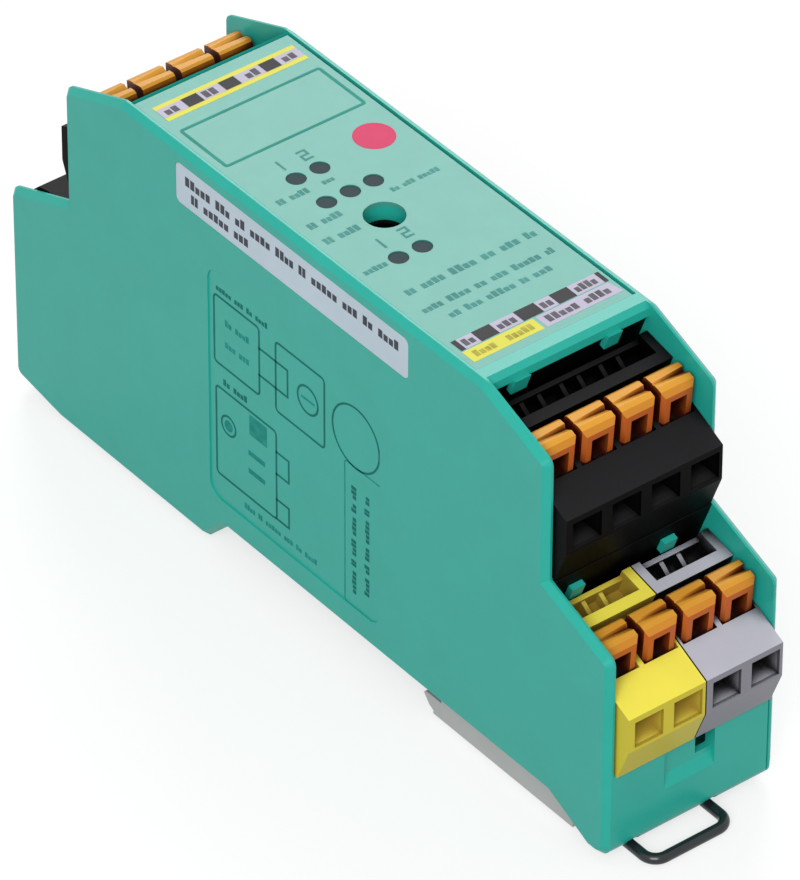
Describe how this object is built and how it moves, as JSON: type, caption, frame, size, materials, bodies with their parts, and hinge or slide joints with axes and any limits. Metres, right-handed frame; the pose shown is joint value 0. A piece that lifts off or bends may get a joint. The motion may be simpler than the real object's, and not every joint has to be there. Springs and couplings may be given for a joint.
{
  "type": "safety relay",
  "caption": "Slim rail-mounted safety relay housing with pluggable spring-clamp terminals at both ends, indicator holes in the front face and a sprung metal foot catch with a wire pull loop.",
  "frame": {"origin": "centre of the rail seat face between the fixed hook and the catch", "axes": "+Z out of the rail towards the front face, +Y along the body away from the end with the pull loop, +X to the right"},
  "size_m": [0.0226, 0.1048, 0.0496],
  "materials": {
    "housing_green": "moulded, fine satin grain",
    "label_green": "flat printed label face",
    "label_paper": "smooth printed sticker",
    "board_green": "solder mask",
    "black_plastic": "moulded, satin",
    "grey_plastic": "moulded, satin",
    "yellow_plastic": "moulded, satin",
    "lever_orange": "moulded, satin",
    "relay_case": "moulded case",
    "capacitor_sleeve": "shrunk sleeve",
    "led_body": "surface-mount body",
    "smoked_lens": "dark light guide",
    "tinned_metal": "tinned, satin",
    "contact_metal": "tin-plated copper alloy",
    "spring_steel": "bright spring steel",
    "catch_steel": "plain plated sheet",
    "loop_steel": "blackened wire"
  },
  "bodies": {
    "housing": {"housing_shell": "housing_green", "side_cover": "housing_green", "label_plate": "label_green", "type_label": "label_paper", "main_board": "board_green", "front_board": "board_green", "board_link": "black_plastic", "relay_1": "relay_case", "relay_2": "relay_case", "chips": "black_plastic", "capacitor": "capacitor_sleeve", "transformer": "relay_case", "leds": "led_body", "led_lenses": "smoked_lens", "address_socket": "black_plastic", "socket_collar": "housing_green", "header_near_upper": "black_plastic", "header_near_lower": "black_plastic", "header_far_upper": "black_plastic", "near_upper_pins": "tinned_metal", "near_lower_pins": "tinned_metal", "far_upper_pins": "tinned_metal", "far_lower_blank": "black_plastic", "catch_spring": "spring_steel"},
    "catch": {"foot_catch": "catch_steel", "release_loop": "loop_steel"},
    "near_upper_plug": {"near_upper_plug": "black_plastic", "near_upper_contacts": "contact_metal", "near_upper_cages": "spring_steel"},
    "near_upper_lever_1": {"near_upper_lever_1": "lever_orange"},
    "near_upper_lever_2": {"near_upper_lever_2": "lever_orange"},
    "near_upper_lever_3": {"near_upper_lever_3": "lever_orange"},
    "near_upper_lever_4": {"near_upper_lever_4": "lever_orange"},
    "near_lower_left_plug": {"near_lower_left_plug": "yellow_plastic", "near_lower_left_contacts": "contact_metal", "near_lower_left_cages": "spring_steel"},
    "near_lower_left_lever_1": {"near_lower_left_lever_1": "lever_orange"},
    "near_lower_left_lever_2": {"near_lower_left_lever_2": "lever_orange"},
    "near_lower_right_plug": {"near_lower_right_plug": "grey_plastic", "near_lower_right_contacts": "contact_metal", "near_lower_right_cages": "spring_steel"},
    "near_lower_right_lever_1": {"near_lower_right_lever_1": "lever_orange"},
    "near_lower_right_lever_2": {"near_lower_right_lever_2": "lever_orange"},
    "far_upper_plug": {"far_upper_plug": "black_plastic", "far_upper_contacts": "contact_metal", "far_upper_cages": "spring_steel"},
    "far_upper_lever_1": {"far_upper_lever_1": "lever_orange"},
    "far_upper_lever_2": {"far_upper_lever_2": "lever_orange"},
    "far_upper_lever_3": {"far_upper_lever_3": "lever_orange"},
    "far_upper_lever_4": {"far_upper_lever_4": "lever_orange"}
  },
  "joints": [
    {"name": "rail_catch_slide", "type": "slide", "parent": "housing", "child": "catch", "axis": [0, -1, 0], "range_m": [0, 0.0031], "stiffness_N_per_m": 300, "deforming": ["catch_spring"]},
    {"name": "near_upper_unplug", "type": "slide", "parent": "housing", "child": "near_upper_plug", "axis": [0, -0.3584, 0.9336], "range_m": [0, 0.012]},
    {"name": "near_upper_press_1", "type": "slide", "parent": "near_upper_plug", "child": "near_upper_lever_1", "axis": [0, 0.3584, -0.9336], "range_m": [0, 0.002], "stiffness_N_per_m": 400},
    {"name": "near_upper_press_2", "type": "slide", "parent": "near_upper_plug", "child": "near_upper_lever_2", "axis": [0, 0.3584, -0.9336], "range_m": [0, 0.002], "stiffness_N_per_m": 400},
    {"name": "near_upper_press_3", "type": "slide", "parent": "near_upper_plug", "child": "near_upper_lever_3", "axis": [0, 0.3584, -0.9336], "range_m": [0, 0.002], "stiffness_N_per_m": 400},
    {"name": "near_upper_press_4", "type": "slide", "parent": "near_upper_plug", "child": "near_upper_lever_4", "axis": [0, 0.3584, -0.9336], "range_m": [0, 0.002], "stiffness_N_per_m": 400},
    {"name": "near_lower_left_unplug", "type": "slide", "parent": "housing", "child": "near_lower_left_plug", "axis": [0, -0.3584, 0.9336], "range_m": [0, 0.012]},
    {"name": "near_lower_left_press_1", "type": "slide", "parent": "near_lower_left_plug", "child": "near_lower_left_lever_1", "axis": [0, 0.3584, -0.9336], "range_m": [0, 0.002], "stiffness_N_per_m": 400},
    {"name": "near_lower_left_press_2", "type": "slide", "parent": "near_lower_left_plug", "child": "near_lower_left_lever_2", "axis": [0, 0.3584, -0.9336], "range_m": [0, 0.002], "stiffness_N_per_m": 400},
    {"name": "near_lower_right_unplug", "type": "slide", "parent": "housing", "child": "near_lower_right_plug", "axis": [0, -0.3584, 0.9336], "range_m": [0, 0.012]},
    {"name": "near_lower_right_press_1", "type": "slide", "parent": "near_lower_right_plug", "child": "near_lower_right_lever_1", "axis": [0, 0.3584, -0.9336], "range_m": [0, 0.002], "stiffness_N_per_m": 400},
    {"name": "near_lower_right_press_2", "type": "slide", "parent": "near_lower_right_plug", "child": "near_lower_right_lever_2", "axis": [0, 0.3584, -0.9336], "range_m": [0, 0.002], "stiffness_N_per_m": 400},
    {"name": "far_upper_unplug", "type": "slide", "parent": "housing", "child": "far_upper_plug", "axis": [0, 0.3584, 0.9336], "range_m": [0, 0.012]},
    {"name": "far_upper_press_1", "type": "slide", "parent": "far_upper_plug", "child": "far_upper_lever_1", "axis": [0, -0.3584, -0.9336], "range_m": [0, 0.002], "stiffness_N_per_m": 400},
    {"name": "far_upper_press_2", "type": "slide", "parent": "far_upper_plug", "child": "far_upper_lever_2", "axis": [0, -0.3584, -0.9336], "range_m": [0, 0.002], "stiffness_N_per_m": 400},
    {"name": "far_upper_press_3", "type": "slide", "parent": "far_upper_plug", "child": "far_upper_lever_3", "axis": [0, -0.3584, -0.9336], "range_m": [0, 0.002], "stiffness_N_per_m": 400},
    {"name": "far_upper_press_4", "type": "slide", "parent": "far_upper_plug", "child": "far_upper_lever_4", "axis": [0, -0.3584, -0.9336], "range_m": [0, 0.002], "stiffness_N_per_m": 400}
  ]
}
